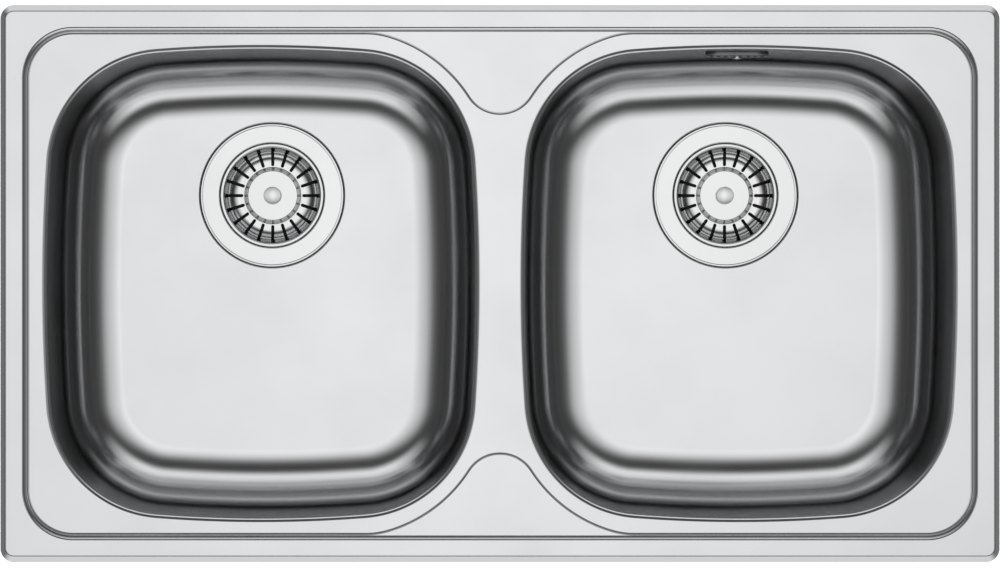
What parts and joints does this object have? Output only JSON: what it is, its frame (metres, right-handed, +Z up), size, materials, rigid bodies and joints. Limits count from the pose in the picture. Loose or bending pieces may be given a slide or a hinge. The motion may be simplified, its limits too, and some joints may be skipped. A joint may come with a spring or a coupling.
{
  "type": "kitchen sink",
  "caption": "Inset stainless kitchen sink with two drawn bowls, a pressed double-step deck, basket strainer wastes, an overflow and fixing clips.",
  "frame": {"origin": "centre of the worktop cut-out on the worktop's top face, where the rim seal rests", "axes": "+X to the right along the long side, +Y to the back (overflow side), +Z up out of the worktop"},
  "size_m": [0.78, 0.435, 0.2381],
  "materials": {
    "satin_steel": "satin stainless sheet, fine brushed",
    "bright_steel": "polished stainless",
    "turned_steel": "turned stainless",
    "zinc_steel": "zinc plated",
    "white_plastic": "moulded polypropylene",
    "nylon": "moulded nylon",
    "black_rubber": "moulded rubber",
    "foam_seal": "closed cell foam strip",
    "sound_pad": "self-adhesive damping pad"
  },
  "bodies": {
    "sink": {"deck": "satin_steel", "rim_seal": "foam_seal", "clip_brackets": "zinc_steel", "clip_pins": "zinc_steel", "overflow_cover": "bright_steel", "overflow_screw": "bright_steel", "overflow_gasket": "black_rubber", "overflow_housing": "white_plastic", "overflow_pipe": "white_plastic", "overflow_nuts": "white_plastic", "overflow_seals": "black_rubber", "blanking_cap": "white_plastic", "blanking_seal": "black_rubber", "left_bowl": "satin_steel", "left_sound_pad": "sound_pad", "left_strainer_cup": "bright_steel", "left_upper_gasket": "black_rubber", "left_lower_gasket": "black_rubber", "left_waste_body": "white_plastic", "left_clamp_screw": "turned_steel", "right_bowl": "satin_steel", "right_sound_pad": "sound_pad", "right_strainer_cup": "bright_steel", "right_upper_gasket": "black_rubber", "right_lower_gasket": "black_rubber", "right_waste_body": "white_plastic", "right_clamp_screw": "turned_steel"},
    "clip_1": {"clip_arm_1": "zinc_steel", "clip_screw_1": "zinc_steel"},
    "clip_2": {"clip_arm_2": "zinc_steel", "clip_screw_2": "zinc_steel"},
    "clip_3": {"clip_arm_3": "zinc_steel", "clip_screw_3": "zinc_steel"},
    "clip_4": {"clip_arm_4": "zinc_steel", "clip_screw_4": "zinc_steel"},
    "clip_5": {"clip_arm_5": "zinc_steel", "clip_screw_5": "zinc_steel"},
    "clip_6": {"clip_arm_6": "zinc_steel", "clip_screw_6": "zinc_steel"},
    "clip_7": {"clip_arm_7": "zinc_steel", "clip_screw_7": "zinc_steel"},
    "clip_8": {"clip_arm_8": "zinc_steel", "clip_screw_8": "zinc_steel"},
    "left_catch": {"left_catch_bush": "nylon"},
    "left_strainer": {"left_basket": "bright_steel", "left_knob": "bright_steel", "left_basket_post": "turned_steel", "left_stopper_seal": "black_rubber", "left_seal_retainer": "turned_steel"},
    "right_catch": {"right_catch_bush": "nylon"},
    "right_strainer": {"right_basket": "bright_steel", "right_knob": "bright_steel", "right_basket_post": "turned_steel", "right_stopper_seal": "black_rubber", "right_seal_retainer": "turned_steel"}
  },
  "joints": [
    {"name": "clip_1_swing", "type": "hinge", "parent": "sink", "child": "clip_1", "pos_m": [0.3685, 0, -0.011], "axis": [0, 1, 0], "range_deg": [0, 16]},
    {"name": "clip_2_swing", "type": "hinge", "parent": "sink", "child": "clip_2", "pos_m": [0.26, 0.196, -0.011], "axis": [-1, 0, 0], "range_deg": [0, 16]},
    {"name": "clip_3_swing", "type": "hinge", "parent": "sink", "child": "clip_3", "pos_m": [0, 0.196, -0.011], "axis": [-1, 0, 0], "range_deg": [0, 16]},
    {"name": "clip_4_swing", "type": "hinge", "parent": "sink", "child": "clip_4", "pos_m": [-0.26, 0.196, -0.011], "axis": [-1, 0, 0], "range_deg": [0, 16]},
    {"name": "clip_5_swing", "type": "hinge", "parent": "sink", "child": "clip_5", "pos_m": [-0.3685, 0, -0.011], "axis": [0, -1, 0], "range_deg": [0, 16]},
    {"name": "clip_6_swing", "type": "hinge", "parent": "sink", "child": "clip_6", "pos_m": [-0.26, -0.196, -0.011], "axis": [1, 0, 0], "range_deg": [0, 16]},
    {"name": "clip_7_swing", "type": "hinge", "parent": "sink", "child": "clip_7", "pos_m": [0, -0.196, -0.011], "axis": [1, 0, 0], "range_deg": [0, 16]},
    {"name": "clip_8_swing", "type": "hinge", "parent": "sink", "child": "clip_8", "pos_m": [0.26, -0.196, -0.011], "axis": [1, 0, 0], "range_deg": [0, 16]},
    {"name": "left_strainer_lift", "type": "slide", "parent": "sink", "child": "left_catch", "axis": [0, 0, 1], "range_m": [0, 0.2]},
    {"name": "left_strainer_spin", "type": "hinge", "parent": "left_catch", "child": "left_strainer", "pos_m": [-0.1835, 0.0715, -0.17], "axis": [0, 0, 1], "continuous": true},
    {"name": "right_strainer_lift", "type": "slide", "parent": "sink", "child": "right_catch", "axis": [0, 0, 1], "range_m": [0, 0.2]},
    {"name": "right_strainer_spin", "type": "hinge", "parent": "right_catch", "child": "right_strainer", "pos_m": [0.1835, 0.0715, -0.17], "axis": [0, 0, 1], "continuous": true}
  ]
}
